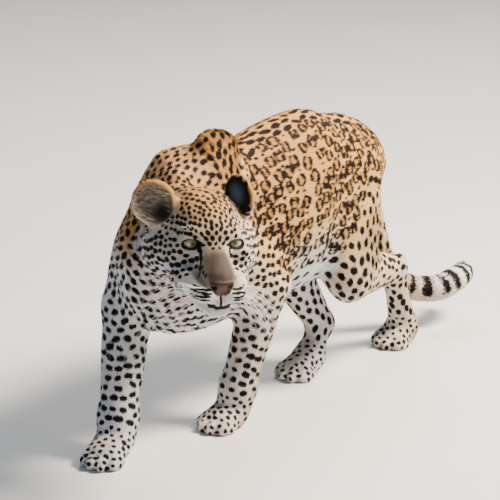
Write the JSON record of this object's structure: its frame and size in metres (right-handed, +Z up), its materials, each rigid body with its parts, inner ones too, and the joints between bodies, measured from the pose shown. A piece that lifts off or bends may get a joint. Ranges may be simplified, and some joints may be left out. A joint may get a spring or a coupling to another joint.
{
  "type": "leopard",
  "caption": "Life-size still model of an adult leopard walking with its head turned to its left and its tail held low.",
  "frame": {"origin": "middle of the floor under the whole animal", "axes": "+Z up, the trunk faces -Y, the animal's left side is +X"},
  "size_m": [0.4542, 1.361, 0.6765],
  "materials": {
    "coat": "short dense fur, tawny with black rosettes, white below",
    "eye": "wet, yellow-olive iris with a small round pupil"
  },
  "bodies": {
    "root": {"head": "coat", "neck": "coat", "torso": "coat", "ear_left": "coat", "ear_right": "coat", "eye_left": "eye", "eye_right": "eye", "foreleg_left": "coat", "foreleg_right": "coat", "forepaw_left": "coat", "forepaw_right": "coat", "hindleg_left": "coat", "hindleg_right": "coat", "hindpaw_left": "coat", "hindpaw_right": "coat", "tail_base": "coat", "tail_mid": "coat", "tail_tip": "coat"}
  },
  "joints": []
}
